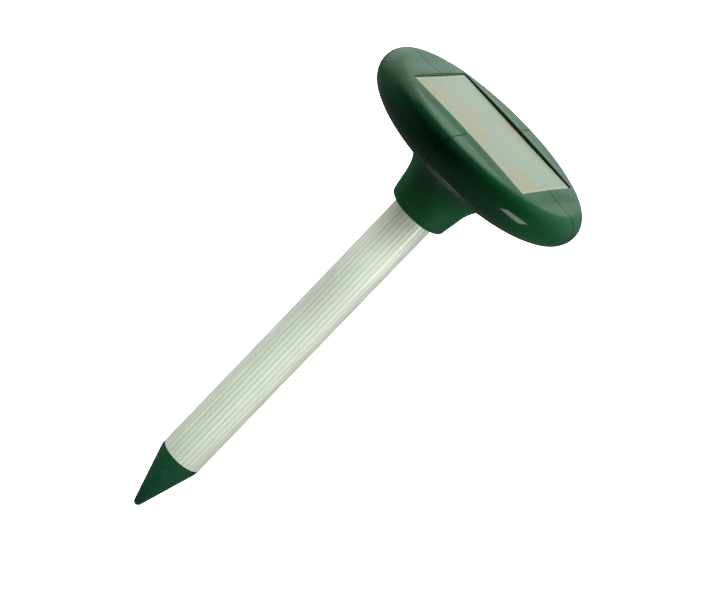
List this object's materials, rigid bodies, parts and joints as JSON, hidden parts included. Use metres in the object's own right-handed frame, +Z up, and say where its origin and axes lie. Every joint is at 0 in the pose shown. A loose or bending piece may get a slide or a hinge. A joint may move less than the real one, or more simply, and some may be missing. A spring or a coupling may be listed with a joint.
{
  "type": "ultrasonic pest repeller",
  "caption": "Solar garden repeller: a round glossy green head with a recessed solar panel on a flared neck, a fluted aluminium stake tube and a conical ground tip.",
  "frame": {"origin": "lowest point of the ground tip, on the stake's axis", "axes": "+Z up along the stake towards the head; -Y is the front, +X to the right of someone facing the front; the solar panel's long side runs along X"},
  "size_m": [0.1532, 0.1532, 0.3243],
  "materials": {
    "head_plastic": "glossy dark green moulded plastic",
    "tip_plastic": "glossy dark green moulded plastic",
    "tube_aluminium": "bare extruded aluminium, satin",
    "panel_resin": "clear glossy resin over the cells",
    "cell_silicon": "solar cell strips",
    "board_laminate": "circuit board laminate",
    "black_rubber": "black rubber",
    "foam": "open cell foam",
    "adhesive": "adhesive tape",
    "steel": "zinc plated steel",
    "nickel": "nickel strip",
    "brass": "brass",
    "copper_coil": "enamelled copper winding",
    "ferrite": "dark ferrite",
    "black_plastic": "black moulded plastic",
    "white_plastic": "white nylon",
    "cell_jacket": "shrink jacket of a rechargeable cell",
    "red_wire": "red insulation",
    "black_wire": "black insulation",
    "grey_wire": "grey insulation",
    "button_rubber": "black rubber"
  },
  "bodies": {
    "stake": {"stake_tube": "tube_aluminium", "cone_tip": "tip_plastic", "tip_seal": "black_rubber", "socket_holder": "black_plastic", "stake_socket": "white_plastic", "socket_pins": "brass", "sounder_lead": "grey_wire", "sounder_case": "black_plastic", "sounder_foam": "foam", "sounder_core": "steel", "sounder_magnet": "ferrite", "sounder_coil": "copper_coil", "sounder_diaphragm": "steel", "sounder_ring": "black_plastic"},
    "head": {"head_top_cover": "head_plastic", "head_bottom_cover": "head_plastic", "head_gasket": "black_rubber", "neck_seal": "black_rubber", "shell_screws": "steel", "panel_cover": "panel_resin", "solar_cells": "cell_silicon", "panel_board": "board_laminate", "panel_tape": "adhesive", "panel_lead": "grey_wire", "main_board": "board_laminate", "controller_chip": "black_plastic", "board_capacitors": "black_plastic", "driver_transistors": "black_plastic", "charge_inductor": "ferrite", "board_resistors": "black_plastic", "board_screws": "steel", "power_switch": "black_plastic", "battery_holder": "black_plastic", "holder_screws": "steel", "battery_cell_1": "cell_jacket", "battery_cell_2": "cell_jacket", "battery_cell_3": "cell_jacket", "cell_tabs": "nickel", "battery_foam": "foam", "battery_lead_red": "red_wire", "battery_lead_black": "black_wire", "head_lead": "grey_wire", "lead_grommet": "black_rubber", "head_plug": "white_plastic"},
    "button": {"power_button": "button_rubber", "switch_plunger": "white_plastic"}
  },
  "joints": [
    {"name": "head_lift", "type": "slide", "parent": "stake", "child": "head", "axis": [0, 0, 1], "range_m": [0, 0.045]},
    {"name": "button_press", "type": "slide", "parent": "head", "child": "button", "axis": [0, 0, 1], "range_m": [0, 0.0015], "stiffness_N_per_m": 600, "springref_m": -0.0015}
  ]
}
